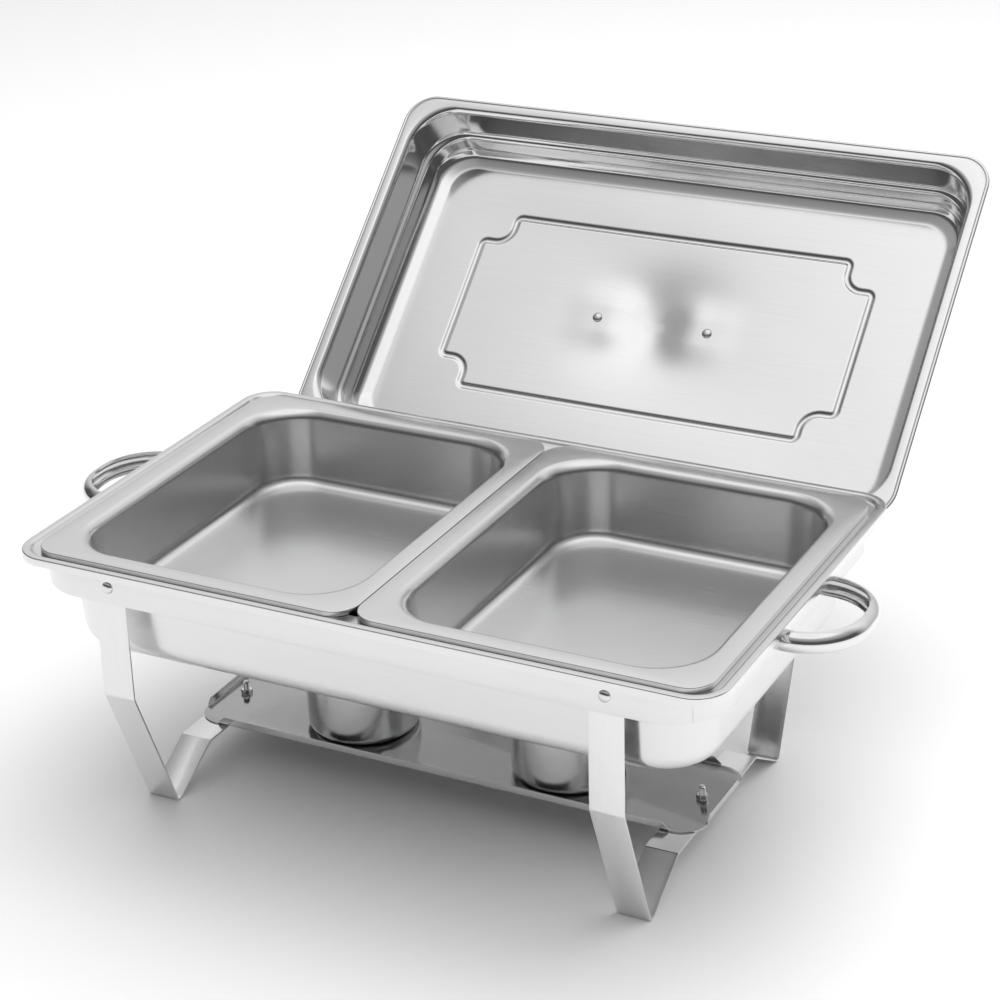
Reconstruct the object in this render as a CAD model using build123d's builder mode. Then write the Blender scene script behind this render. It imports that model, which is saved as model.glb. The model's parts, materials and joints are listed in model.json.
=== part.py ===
import os
from math import hypot

from build123d import *

os.makedirs("parts", exist_ok=True)

# Frame: millimetres, X along the dish, Y to the back, Z up, origin on the table under the centre.

# sheet thicknesses
PAN_SHEET = 0.8
BAND_SHEET = 1.2
LEG_SHEET = 1.5
SHELF_SHEET = 1.0

# frame ring
RING_HALF = (269.0, 167.0)
RING_RADIUS = 46.0
RING_LOW, RING_HIGH = 184.8, 209.0

# leg frames
LEG_X = 195.5
LEG_WIDTH = 26.0
RING_LEG_GAP = 0.3
LEG_Y = RING_HALF[1] - BAND_SHEET - RING_LEG_GAP - LEG_SHEET / 2
LEG_TOP_RADIUS = 5.0
LEG_TOP = 206.0
KNEE_Z = 108.0
FOOT_Y_OUT, FOOT_Y_IN = 122.0, 117.6
CROSSBAR_Y = 74.0
CROSSBAR_TOP = 27.5
PIVOT_Z = 197.8
RIVET_DIA = 5.0
RIVET_HEAD_DIA = 9.0
RIVET_HEAD_HIGH = 2.4
RIVET_TAIL_DIA, RIVET_TAIL_HIGH = 7.6, 1.2
RIVET_PLAY = 0.2
RUNNING_FIT = 0.1  # on the diameter

# fuel shelf
SHELF_HALF = (212.5, 50.5)
SHELF_CORNER = 20.0
SHELF_FLANGE = 7.0
LONG_FLANGE_BASE, LONG_FLANGE_TOP = 190.0, 184.5
END_FLANGE_BASE, END_FLANGE_TOP = 30.5, 26.5
STUD_DIA = 5.0
STUD_TOP = 40.0
STUD_HEAD_DIA, STUD_HEAD_HIGH = 9.0, 2.5
STUD_TIP_RADIUS, STUD_HEAD_CHAMFER = 1.0, 0.6
SHELF_HOLE_DIA = 5.6
NUT_FLATS, NUT_HIGH = 8.0, 4.0
DRAIN_HOLE_DIA = 3.0
DRAIN_HOLE_AT = (20.0, -12.0)

# water pan
RIM_HALF = (277.0, 173.5)
RIM_RADIUS = 26.0
RIM_TOP = 213.0
LIP_LOW = 206.8
STEP_HALF = (270.0, 167.5)
STEP_RADIUS = 21.0
LEDGE_TOP = 210.0
WATER_TOP_HALF = (258.0, 155.0)
WATER_LOW_HALF = (252.0, 149.0)
WATER_RADIUS = 46.0
WATER_LOW_RADIUS = 42.0
WATER_FLOOR = 133.0
WATER_EDGE = 14.0
WATER_SHEET = 1.0
RIM_ROUND = 0.9

# food pans
FOOD_LONG = 326.0
FOOD_WIDE = 264.4
FOOD_GAP = 0.8
FOOD_CORNER = 20.0
FOOD_TOP = 214.0
FOOD_EDGE_LOW = 210.2
FOOD_FLANGE = 15.0
FOOD_SHOULDER = 4.0
FOOD_WALL_RADIUS = 46.0
FOOD_TAPER = 5.0
FOOD_FLOOR = 151.0
FOOD_FLOOR_EDGE = 10.0
FOOD_ROUND = 0.7

# fuel cups
CUP_X = 88.0
CUP_DIA = 90.0
CUP_HIGH = 58.0
CUP_EDGE = 7.0
CUP_BEAD = 1.6

# end handles
HANDLE_Z = 197.0
HANDLE_RADIUS = 8.0
HANDLE_SHEET = 1.2
HANDLE_HALF = 44.0
HANDLE_REACH = 314.0
HANDLE_BEND = 40.0

# lid, drawn closed and then swung open
LID_OPEN = 137.6
LID_HALF = (264.5, 162.5)
LID_CORNER = 27.0
LID_LOW = 214.2
LID_SHEET = 0.8
LID_BEAD = 1.8
# inset from the lid's edge, height above its low face, corner radius
LID_STEPS = [(10.0, 0.0, 38.0), (13.0, 3.0, 37.5), (15.5, 31.0, 36.0), (20.0, 34.0, 34.0),
             (22.5, 47.0, 32.0), (27.0, 54.0, 30.0), (36.0, 58.0, 24.0)]
EMBOSS_HALF = (180.0, 84.0)
EMBOSS_NOTCH, EMBOSS_NOTCH_RADIUS = 26.0, 14.0
EMBOSS_WIDE = 4.0
EMBOSS_HIGH = 0.8
SCREW_X = 50.0
SCREW_DIA = 4.0
SCREW_HEAD_DIA, SCREW_HEAD_HIGH = 8.5, 2.4
SCREW_HEAD_ROUND = 1.2

# lid handle
GRIP_WIDE, GRIP_THICK = 18.0, 4.0
GRIP_RISE = 34.0
GRIP_FOOT = 9.0
GRIP_TOP_HALF = 34.0
GRIP_BEND = 3.0

# hinge
PIN_Y, PIN_Z = 171.6, 190.5
PIN_DIA = 3.0
PIN_HEAD_DIA, PIN_HEAD_THICK = 5.0, 1.0
HINGE_X = 120.0
KNUCKLE_OUT = 3.0
KNUCKLE_HALF = 9.0
EAR_THICK = 1.2
EAR_GAP = 0.3
EAR_RADIUS = 3.3
LUG_PLATE = 1.0
LUG_ABOVE, LUG_BELOW = 14.0, 5.0
STRAP_SHEET = 1.5
STRAP_BACK = 6.4
STRAP_DOWN = 8.5
STRAP_CLEAR = 1.3
STRAP_OFF = 0.1
STRAP_CURL = 0.8


def save(shape, label):
    """Name a finished part and write it to its file."""
    shape.label = label
    export_step(shape, f"parts/{label}.step")


def strip_outline(points, thickness):
    """The outline of a bent strip, with mitred bends, from the points along its middle."""
    half = thickness / 2
    sides = ([], [])
    for i, (u, v) in enumerate(points):
        before = points[max(i - 1, 0)]
        after = points[min(i + 1, len(points) - 1)]
        normals = []
        for a, b in ((before, (u, v)), ((u, v), after)):
            length = hypot(b[0] - a[0], b[1] - a[1])
            if length > 0:
                normals.append(((a[1] - b[1]) / length, (b[0] - a[0]) / length))
        nu = sum(n[0] for n in normals) / len(normals)
        nv = sum(n[1] for n in normals) / len(normals)
        scale = half / (nu * nu + nv * nv)
        sides[0].append((u + nu * scale, v + nv * scale))
        sides[1].append((u - nu * scale, v - nv * scale))
    return sides[0] + sides[1][::-1]


def basin(half, centre, steps, edge_radius):
    """A solid block through rounded rectangles, each (inset, height, corner radius), top first."""
    with BuildPart() as block:
        for inset, height, radius in steps:
            with BuildSketch(Plane.XY.offset(height)):
                with Locations(centre):
                    RectangleRounded(2 * (half[0] - inset), 2 * (half[1] - inset), radius)
        loft(ruled=True)
        if edge_radius > 0:
            fillet(block.faces().sort_by(Axis.Z)[0].edges(), edge_radius)
    return block.part


def opened(shape):
    """Swing a shape of the closed lid open about the hinge pins."""
    return shape.rotate(Axis((0, PIN_Y, PIN_Z), (1, 0, 0)), -LID_OPEN)


# ---- frame ring ----
with BuildPart() as frame_ring:
    with BuildSketch(Plane.XY.offset(RING_LOW)):
        RectangleRounded(2 * RING_HALF[0], 2 * RING_HALF[1], RING_RADIUS)
        RectangleRounded(
            2 * (RING_HALF[0] - BAND_SHEET),
            2 * (RING_HALF[1] - BAND_SHEET),
            RING_RADIUS - BAND_SHEET,
            mode=Mode.SUBTRACT,
        )
    extrude(amount=RING_HIGH - RING_LOW)
    with BuildSketch(Plane.XZ):
        with Locations((-LEG_X, PIVOT_Z), (LEG_X, PIVOT_Z)):
            Circle((RIVET_DIA + RUNNING_FIT) / 2)
    extrude(amount=RING_HALF[1] + LEG_SHEET, both=True, mode=Mode.SUBTRACT)
save(frame_ring.part, "frame_ring")

# ---- leg rivets, four alike, domes outside ----
rivet_grip = BAND_SHEET + RING_LEG_GAP + LEG_SHEET + RIVET_PLAY
dome = (RIVET_HEAD_DIA**2 / 4 + RIVET_HEAD_HIGH**2) / (2 * RIVET_HEAD_HIGH)
with BuildPart() as rivet:
    with BuildSketch(Plane.XZ):
        with BuildLine():
            RadiusArc((RIVET_HEAD_DIA / 2, 0), (0, RIVET_HEAD_HIGH), -dome)
            Polyline((0, RIVET_HEAD_HIGH), (0, -rivet_grip - RIVET_TAIL_HIGH),
                     (RIVET_TAIL_DIA / 2, -rivet_grip - RIVET_TAIL_HIGH),
                     (RIVET_TAIL_DIA / 2, -rivet_grip), (RIVET_DIA / 2, -rivet_grip),
                     (RIVET_DIA / 2, 0), (RIVET_HEAD_DIA / 2, 0))
        make_face()
    revolve(axis=Axis.Z)
with BuildPart() as leg_rivets:
    for end in (-1, 1):
        for side in (-1, 1):
            with Locations(Location((end * LEG_X, side * RING_HALF[1], PIVOT_Z),
                                    (-side * 90, 0, 0))):
                add(rivet.part)
save(leg_rivets.part, "leg_rivets")

# ---- leg frames and their studs ----
half_leg = [(LEG_Y, LEG_TOP), (LEG_Y, KNEE_Z), (FOOT_Y_OUT, LEG_SHEET / 2),
            (FOOT_Y_IN, LEG_SHEET / 2), (CROSSBAR_Y, CROSSBAR_TOP - LEG_SHEET / 2)]
leg_line = [(-y, z) for y, z in half_leg] + half_leg[::-1]
for end, name in ((-1, "left"), (1, "right")):
    with BuildPart() as leg:
        with BuildSketch(Plane.YZ.offset(end * LEG_X)):
            with BuildLine():
                Polyline(*strip_outline(leg_line, LEG_SHEET), close=True)
            make_face()
        extrude(amount=LEG_WIDTH / 2, both=True)
        fillet(leg.edges().filter_by(Axis.Y).group_by(Axis.Z)[-1], LEG_TOP_RADIUS)
        with BuildSketch(Plane.XZ):
            with Locations((end * LEG_X, PIVOT_Z)):
                Circle((RIVET_DIA + RUNNING_FIT) / 2)
        extrude(amount=RING_HALF[1], both=True, mode=Mode.SUBTRACT)
        with Locations((end * LEG_X, 0, CROSSBAR_TOP)):
            Hole(radius=(STUD_DIA + RUNNING_FIT) / 2, depth=2 * LEG_SHEET)
    save(leg.part, f"leg_frame_{name}")

    with BuildPart() as stud:
        with BuildSketch(Plane.XY.offset(CROSSBAR_TOP - LEG_SHEET - STUD_HEAD_HIGH)):
            with Locations((end * LEG_X, 0)):
                Circle(STUD_HEAD_DIA / 2)
        extrude(amount=STUD_HEAD_HIGH)
        with BuildSketch(Plane.XY.offset(CROSSBAR_TOP - LEG_SHEET)):
            with Locations((end * LEG_X, 0)):
                Circle(STUD_DIA / 2)
        extrude(amount=STUD_TOP - CROSSBAR_TOP + LEG_SHEET)
        fillet(stud.edges().group_by(Axis.Z)[-1], STUD_TIP_RADIUS)
        chamfer(stud.edges().group_by(Axis.Z)[0], STUD_HEAD_CHAMFER)
    save(stud.part, f"shelf_stud_{name}")

# ---- fuel shelf ----
shelf_top = CROSSBAR_TOP + SHELF_SHEET
flange_top = CROSSBAR_TOP + SHELF_FLANGE
with BuildPart() as fuel_shelf:
    with BuildSketch(Plane.XY.offset(CROSSBAR_TOP)):
        RectangleRounded(2 * SHELF_HALF[0], 2 * SHELF_HALF[1], SHELF_CORNER)
        with Locations((-LEG_X, 0), (LEG_X, 0)):
            Circle(SHELF_HOLE_DIA / 2, mode=Mode.SUBTRACT)
        with Locations(DRAIN_HOLE_AT):
            Circle(DRAIN_HOLE_DIA / 2, mode=Mode.SUBTRACT)
    extrude(amount=SHELF_SHEET)
    with BuildSketch(Plane.XZ.offset(SHELF_HALF[1])):
        with BuildLine():
            Polyline((-LONG_FLANGE_BASE, CROSSBAR_TOP + SHELF_SHEET / 2),
                     (LONG_FLANGE_BASE, CROSSBAR_TOP + SHELF_SHEET / 2),
                     (LONG_FLANGE_TOP, flange_top), (-LONG_FLANGE_TOP, flange_top), close=True)
        make_face()
    long_flange = extrude(amount=-SHELF_SHEET)
    mirror(long_flange, about=Plane.XZ)
    with BuildSketch(Plane.YZ.offset(SHELF_HALF[0])):
        with BuildLine():
            Polyline((-END_FLANGE_BASE, CROSSBAR_TOP + SHELF_SHEET / 2),
                     (END_FLANGE_BASE, CROSSBAR_TOP + SHELF_SHEET / 2),
                     (END_FLANGE_TOP, flange_top), (-END_FLANGE_TOP, flange_top), close=True)
        make_face()
    end_flange = extrude(amount=-SHELF_SHEET)
    mirror(end_flange, about=Plane.YZ)
save(fuel_shelf.part, "fuel_shelf")

# ---- shelf nuts ----
with BuildPart() as shelf_nuts:
    with BuildSketch(Plane.XY.offset(shelf_top)):
        with Locations((-LEG_X, 0), (LEG_X, 0)):
            RegularPolygon(NUT_FLATS / 2, 6, major_radius=False)
            Circle((STUD_DIA + RUNNING_FIT) / 2, mode=Mode.SUBTRACT)
    extrude(amount=NUT_HIGH)
save(shelf_nuts.part, "shelf_nuts")

# ---- water pan ----
ledge_low = LEDGE_TOP - WATER_SHEET
taper = WATER_TOP_HALF[0] - WATER_LOW_HALF[0]
with BuildPart() as water_pan:
    add(basin(WATER_TOP_HALF, (0, 0),
              [(0, LEDGE_TOP, WATER_RADIUS), (taper, WATER_FLOOR, WATER_LOW_RADIUS)], WATER_EDGE))
    with BuildSketch(Plane.XY.offset(ledge_low)):
        RectangleRounded(2 * (STEP_HALF[0] + WATER_SHEET), 2 * (STEP_HALF[1] + WATER_SHEET),
                         STEP_RADIUS + WATER_SHEET)
    extrude(amount=RIM_TOP - ledge_low)
    with BuildSketch(Plane.XY.offset(LIP_LOW)):
        RectangleRounded(2 * RIM_HALF[0], 2 * RIM_HALF[1], RIM_RADIUS)
        RectangleRounded(2 * (RIM_HALF[0] - WATER_SHEET), 2 * (RIM_HALF[1] - WATER_SHEET),
                         RIM_RADIUS - WATER_SHEET, mode=Mode.SUBTRACT)
    extrude(amount=RIM_TOP - LIP_LOW)
    with BuildSketch(Plane.XY.offset(RIM_TOP - WATER_SHEET)):
        RectangleRounded(2 * RIM_HALF[0], 2 * RIM_HALF[1], RIM_RADIUS)
    extrude(amount=WATER_SHEET)
    with BuildSketch(Plane.XY.offset(LEDGE_TOP)):
        RectangleRounded(2 * STEP_HALF[0], 2 * STEP_HALF[1], STEP_RADIUS)
    extrude(amount=RIM_TOP - LEDGE_TOP, mode=Mode.SUBTRACT)
    add(basin(WATER_TOP_HALF, (0, 0),
              [(WATER_SHEET, LEDGE_TOP, WATER_RADIUS - WATER_SHEET),
               (taper + WATER_SHEET, WATER_FLOOR + WATER_SHEET, WATER_LOW_RADIUS - WATER_SHEET)],
              WATER_EDGE - WATER_SHEET), mode=Mode.SUBTRACT)
    outer_rim = (
        water_pan.faces().filter_by(Plane.XY).group_by(Axis.Z)[-1].sort_by(SortBy.AREA)[-1]
    )
    fillet(outer_rim.outer_wire().edges(), RIM_ROUND)
save(water_pan.part, "water_pan")

# ---- food pans ----
food_half = (FOOD_WIDE / 2, FOOD_LONG / 2)
shoulder = FOOD_FLANGE + FOOD_SHOULDER
# the shoulder is drawn as three short slopes, each steeper than the last
food_steps = [
    (FOOD_FLANGE, FOOD_TOP, FOOD_WALL_RADIUS),
    (FOOD_FLANGE + 0.3 * FOOD_SHOULDER, FOOD_TOP - 0.08 * FOOD_SHOULDER, FOOD_WALL_RADIUS),
    (FOOD_FLANGE + 0.7 * FOOD_SHOULDER, FOOD_TOP - 0.3 * FOOD_SHOULDER, FOOD_WALL_RADIUS),
    (shoulder, FOOD_TOP - FOOD_SHOULDER, FOOD_WALL_RADIUS),
    (shoulder + FOOD_TAPER, FOOD_FLOOR, FOOD_WALL_RADIUS - FOOD_TAPER),
]
outer_steps = [(inset - PAN_SHEET, height - PAN_SHEET, radius + PAN_SHEET)
               for inset, height, radius in food_steps]
for end, name in ((-1, "left"), (1, "right")):
    centre = (end * (FOOD_GAP + FOOD_WIDE) / 2, 0)
    with BuildPart() as food_pan:
        add(basin(food_half, centre, outer_steps, FOOD_FLOOR_EDGE + PAN_SHEET))
        with BuildSketch(Plane.XY.offset(FOOD_EDGE_LOW)):
            with Locations(centre):
                RectangleRounded(FOOD_WIDE, FOOD_LONG, FOOD_CORNER)
                RectangleRounded(FOOD_WIDE - 2 * PAN_SHEET, FOOD_LONG - 2 * PAN_SHEET,
                                 FOOD_CORNER - PAN_SHEET, mode=Mode.SUBTRACT)
        extrude(amount=FOOD_TOP - FOOD_EDGE_LOW)
        with BuildSketch(Plane.XY.offset(FOOD_TOP - PAN_SHEET)):
            with Locations(centre):
                RectangleRounded(FOOD_WIDE, FOOD_LONG, FOOD_CORNER)
        extrude(amount=PAN_SHEET)
        add(basin(food_half, centre, food_steps, FOOD_FLOOR_EDGE), mode=Mode.SUBTRACT)
        flange = (
            food_pan.faces().filter_by(Plane.XY).group_by(Axis.Z)[-1].sort_by(SortBy.AREA)[-1]
        )
        fillet(flange.outer_wire().edges(), FOOD_ROUND)
    save(food_pan.part, f"food_pan_{name}")

# ---- fuel cups ----
cup_radius = CUP_DIA / 2
cup_wall = cup_radius - CUP_BEAD
cup_top = shelf_top + CUP_HIGH
for end, name in ((-1, "left"), (1, "right")):
    with BuildPart() as cup:
        with BuildSketch(Plane.XZ):
            with BuildLine():
                Line((0, shelf_top), (cup_wall - CUP_EDGE, shelf_top))
                RadiusArc((cup_wall - CUP_EDGE, shelf_top), (cup_wall, shelf_top + CUP_EDGE),
                          -CUP_EDGE)
                Polyline((cup_wall, shelf_top + CUP_EDGE), (cup_wall, cup_top - 2 * CUP_BEAD),
                         (cup_radius, cup_top - 1.5 * CUP_BEAD),
                         (cup_radius, cup_top - 0.5 * CUP_BEAD),
                         (cup_wall + CUP_BEAD / 2, cup_top),
                         (cup_wall - PAN_SHEET, cup_top),
                         (cup_wall - PAN_SHEET, shelf_top + CUP_EDGE))
                RadiusArc((cup_wall - PAN_SHEET, shelf_top + CUP_EDGE),
                          (cup_wall - CUP_EDGE, shelf_top + PAN_SHEET), CUP_EDGE - PAN_SHEET)
                Polyline((cup_wall - CUP_EDGE, shelf_top + PAN_SHEET),
                         (0, shelf_top + PAN_SHEET), (0, shelf_top))
            make_face()
        revolve(axis=Axis.Z)
    save(Pos(end * CUP_X, 0, 0) * cup.part, f"fuel_cup_{name}")

# ---- end handles, a channel open to the inside of the loop ----
for end, name in ((-1, "left"), (1, "right")):
    with BuildPart() as handle:
        with BuildLine():
            root, tip = end * RING_HALF[0], end * HANDLE_REACH
            FilletPolyline((root, -HANDLE_HALF, HANDLE_Z), (tip, -HANDLE_HALF, HANDLE_Z),
                           (tip, HANDLE_HALF, HANDLE_Z), (root, HANDLE_HALF, HANDLE_Z),
                           radius=HANDLE_BEND)
        section = Plane(origin=(root, -HANDLE_HALF, HANDLE_Z), x_dir=(0, 1, 0), z_dir=(end, 0, 0))
        with BuildSketch(section):
            Circle(HANDLE_RADIUS)
            Circle(HANDLE_RADIUS - HANDLE_SHEET, mode=Mode.SUBTRACT)
            with Locations((HANDLE_RADIUS, 0)):
                Rectangle(2 * HANDLE_RADIUS, 2 * HANDLE_RADIUS, mode=Mode.SUBTRACT)
        sweep()
    save(handle.part, f"end_handle_{name}")

# ---- lid shell, built closed ----
roof_top = LID_LOW + LID_STEPS[-1][1] + LID_SHEET
inner_steps = [(inset, LID_LOW + high, radius) for inset, high, radius in LID_STEPS[::-1]]
inner_steps.append((LID_STEPS[0][0], LID_LOW - LID_SHEET, LID_STEPS[0][2]))
dome_steps = [(inset - LID_SHEET, LID_LOW + high + LID_SHEET, radius + LID_SHEET)
              for inset, high, radius in LID_STEPS[:0:-1]]
dome_steps.append((LID_STEPS[0][0] - LID_SHEET, LID_LOW, LID_STEPS[0][2] + LID_SHEET))
with BuildPart() as lid_shell:
    with BuildSketch(Plane.XY.offset(LID_LOW)):
        RectangleRounded(2 * LID_HALF[0], 2 * LID_HALF[1], LID_CORNER)
        RectangleRounded(2 * (LID_HALF[0] - 2 * LID_BEAD), 2 * (LID_HALF[1] - 2 * LID_BEAD),
                         LID_CORNER - 2 * LID_BEAD, mode=Mode.SUBTRACT)
    extrude(amount=2 * LID_BEAD)
    rolled = lid_shell.faces().filter_by(Plane.XY).sort_by(Axis.Z)
    fillet(rolled[0].outer_wire().edges() + rolled[-1].outer_wire().edges(), 0.96 * LID_BEAD)
    with BuildSketch(Plane.XY.offset(LID_LOW)):
        RectangleRounded(2 * (LID_HALF[0] - LID_BEAD), 2 * (LID_HALF[1] - LID_BEAD),
                         LID_CORNER - LID_BEAD)
    extrude(amount=LID_SHEET)
    add(basin(LID_HALF, (0, 0), dome_steps, 0))
    add(basin(LID_HALF, (0, 0), inner_steps, 0), mode=Mode.SUBTRACT)
    with BuildSketch(Plane.XY.offset(roof_top - LID_SHEET / 2)):
        Rectangle(2 * EMBOSS_HALF[0], 2 * EMBOSS_HALF[1])
        with GridLocations(2 * EMBOSS_HALF[0], 2 * EMBOSS_HALF[1], 2, 2):
            RectangleRounded(2 * EMBOSS_NOTCH, 2 * EMBOSS_NOTCH, EMBOSS_NOTCH_RADIUS,
                             mode=Mode.SUBTRACT)
        with BuildSketch(mode=Mode.SUBTRACT):
            Rectangle(2 * (EMBOSS_HALF[0] - EMBOSS_WIDE), 2 * (EMBOSS_HALF[1] - EMBOSS_WIDE))
            with GridLocations(2 * EMBOSS_HALF[0], 2 * EMBOSS_HALF[1], 2, 2):
                notch = EMBOSS_NOTCH + EMBOSS_WIDE
                RectangleRounded(2 * notch, 2 * notch, EMBOSS_NOTCH_RADIUS + EMBOSS_WIDE,
                                 mode=Mode.SUBTRACT)
    extrude(amount=LID_SHEET / 2 + EMBOSS_HIGH)
    with Locations((-SCREW_X, 0, roof_top + EMBOSS_HIGH),
                   (SCREW_X, 0, roof_top + EMBOSS_HIGH)):
        Hole(radius=(SCREW_DIA + RUNNING_FIT) / 2, depth=4 * LID_SHEET)
save(opened(lid_shell.part), "lid_shell")

# ---- lid handle and its screws ----
foot_z = roof_top + GRIP_THICK / 2
grip_line = [(-SCREW_X - GRIP_FOOT, foot_z), (-SCREW_X + GRIP_FOOT, foot_z),
             (-GRIP_TOP_HALF, roof_top + GRIP_RISE), (GRIP_TOP_HALF, roof_top + GRIP_RISE),
             (SCREW_X - GRIP_FOOT, foot_z), (SCREW_X + GRIP_FOOT, foot_z)]
with BuildPart() as lid_handle:
    with BuildSketch(Plane.XZ):
        with BuildLine():
            Polyline(*strip_outline(grip_line, GRIP_THICK), close=True)
        make_face()
    extrude(amount=GRIP_WIDE / 2, both=True)
    fillet(lid_handle.edges().filter_by(Axis.Y).group_by(Axis.Z)[-1], GRIP_BEND)
    with Locations((-SCREW_X, 0, roof_top + GRIP_THICK),
                   (SCREW_X, 0, roof_top + GRIP_THICK)):
        Hole(radius=(SCREW_DIA + RUNNING_FIT) / 2, depth=2 * GRIP_THICK)
save(opened(lid_handle.part), "lid_handle")

with BuildPart() as lid_screws:
    with Locations((-SCREW_X, 0, roof_top - LID_SHEET),
                   (SCREW_X, 0, roof_top - LID_SHEET)):
        Cylinder(SCREW_DIA / 2, LID_SHEET + GRIP_THICK - RIVET_PLAY,
                 align=(Align.CENTER, Align.CENTER, Align.MIN))
        Cylinder(SCREW_HEAD_DIA / 2, SCREW_HEAD_HIGH,
                 align=(Align.CENTER, Align.CENTER, Align.MAX))
    fillet(lid_screws.edges().filter_by(GeomType.CIRCLE).group_by(Axis.Z)[0], SCREW_HEAD_ROUND)
save(opened(lid_screws.part), "lid_handle_screws")

# ---- hinge: lugs on the ring, straps on the lid, pins ----
ear_x = KNUCKLE_HALF + EAR_GAP
lug_top, lug_low = PIN_Z + LUG_ABOVE, PIN_Z - LUG_BELOW
lug_half = ear_x + EAR_THICK
lid_back = LID_HALF[1] + LID_SHEET + STRAP_OFF + STRAP_SHEET / 2
wall_foot, wall_head = lid_back - LID_STEPS[1][0], lid_back - LID_STEPS[2][0]
strap_z = LID_LOW + 2 * LID_BEAD + STRAP_CLEAR + STRAP_SHEET / 2
strap_line = [
    (wall_head, LID_LOW + LID_STEPS[2][1]),
    (wall_foot, strap_z),
    (PIN_Y + STRAP_BACK, strap_z),
    (PIN_Y + STRAP_BACK, PIN_Z + STRAP_DOWN),
    (PIN_Y + STRAP_CURL, PIN_Z + KNUCKLE_OUT - STRAP_CURL),
]
for end, name in ((-1, "left"), (1, "right")):
    middle = end * HINGE_X
    with BuildPart() as lug:
        with BuildSketch(Plane.XZ.offset(-RING_HALF[1])):
            with Locations((middle, (lug_top + lug_low) / 2)):
                RectangleRounded(2 * lug_half + 2 * EAR_THICK, lug_top - lug_low, LUG_PLATE)
        extrude(amount=-LUG_PLATE)
        for side in (-1, 1):
            with BuildSketch(Plane.YZ.offset(middle + side * (ear_x + EAR_THICK / 2))):
                with Locations((PIN_Y, PIN_Z)):
                    Circle(EAR_RADIUS)
                with Locations(((PIN_Y + RING_HALF[1] + LUG_PLATE / 2) / 2, PIN_Z)):
                    Rectangle(PIN_Y - RING_HALF[1] - LUG_PLATE / 2, 2 * EAR_RADIUS)
                with Locations((PIN_Y, PIN_Z)):
                    Circle((PIN_DIA + RUNNING_FIT) / 2, mode=Mode.SUBTRACT)
            extrude(amount=EAR_THICK / 2, both=True)
    save(lug.part, f"hinge_lug_{name}")

    with BuildPart() as strap:
        with BuildSketch(Plane.YZ.offset(middle)):
            with BuildLine():
                Polyline(*strip_outline(strap_line, STRAP_SHEET), close=True)
            make_face()
            with Locations((PIN_Y, PIN_Z)):
                Circle(KNUCKLE_OUT)
                Circle((PIN_DIA + RUNNING_FIT) / 2, mode=Mode.SUBTRACT)
        extrude(amount=KNUCKLE_HALF, both=True)
    save(opened(strap.part), f"hinge_strap_{name}")

with BuildPart() as hinge_pins:
    for end in (-1, 1):
        with Locations(Location((end * HINGE_X, PIN_Y, PIN_Z), (0, 90, 0))):
            Cylinder(PIN_DIA / 2, 2 * (lug_half + PIN_HEAD_THICK / 2))
        for side in (-1, 1):
            at = end * HINGE_X + side * (lug_half + PIN_HEAD_THICK / 2)
            with Locations(Location((at, PIN_Y, PIN_Z), (0, 90, 0))):
                Cylinder(PIN_HEAD_DIA / 2, PIN_HEAD_THICK)
save(hinge_pins.part, "hinge_pins")
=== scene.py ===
import json
from math import cos, exp, hypot, pi, radians, sin

import bmesh
import bpy
from mathutils import Matrix, Vector


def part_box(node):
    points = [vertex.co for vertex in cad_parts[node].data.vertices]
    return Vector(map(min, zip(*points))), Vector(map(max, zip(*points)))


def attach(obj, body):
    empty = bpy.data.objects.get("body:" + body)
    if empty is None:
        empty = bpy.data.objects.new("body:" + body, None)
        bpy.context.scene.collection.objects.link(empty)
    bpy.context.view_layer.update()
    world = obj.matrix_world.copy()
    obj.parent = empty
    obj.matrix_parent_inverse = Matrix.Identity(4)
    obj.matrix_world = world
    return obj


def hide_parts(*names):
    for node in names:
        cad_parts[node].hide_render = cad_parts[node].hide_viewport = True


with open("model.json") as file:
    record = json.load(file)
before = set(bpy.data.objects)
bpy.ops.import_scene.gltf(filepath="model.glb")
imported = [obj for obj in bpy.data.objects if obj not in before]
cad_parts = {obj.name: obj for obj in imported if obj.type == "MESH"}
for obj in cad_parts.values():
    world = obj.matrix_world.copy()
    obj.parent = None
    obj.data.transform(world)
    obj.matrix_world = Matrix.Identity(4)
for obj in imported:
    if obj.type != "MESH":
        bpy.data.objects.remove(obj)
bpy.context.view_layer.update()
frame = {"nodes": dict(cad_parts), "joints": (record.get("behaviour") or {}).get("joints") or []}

MM = 0.001
JOINTS = {joint["name"]: joint for joint in frame["joints"]}


# ---------------------------------------------------------------- where the CAD says things are

def middle(node):
    low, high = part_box(node)
    return (low + high) / 2


def lid_swing():
    """The matrix that takes the closed lid to where it stands open."""
    joint = JOINTS["lid_swing"]
    pin = Matrix.Translation(Vector(joint["pos_m"]))
    angle = radians(-joint["range_deg"][0])
    return pin @ Matrix.Rotation(angle, 4, Vector(joint["axis"])) @ pin.inverted()


OPEN = lid_swing()


def closed_box(node):
    """The box of a lid node with the lid swung shut."""
    shut = OPEN.inverted()
    points = [shut @ v.co for v in frame["nodes"][node].data.vertices]
    low = Vector([min(p[i] for p in points) for i in range(3)])
    high = Vector([max(p[i] for p in points) for i in range(3)])
    return low, high


# ---------------------------------------------------------------- outlines

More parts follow.
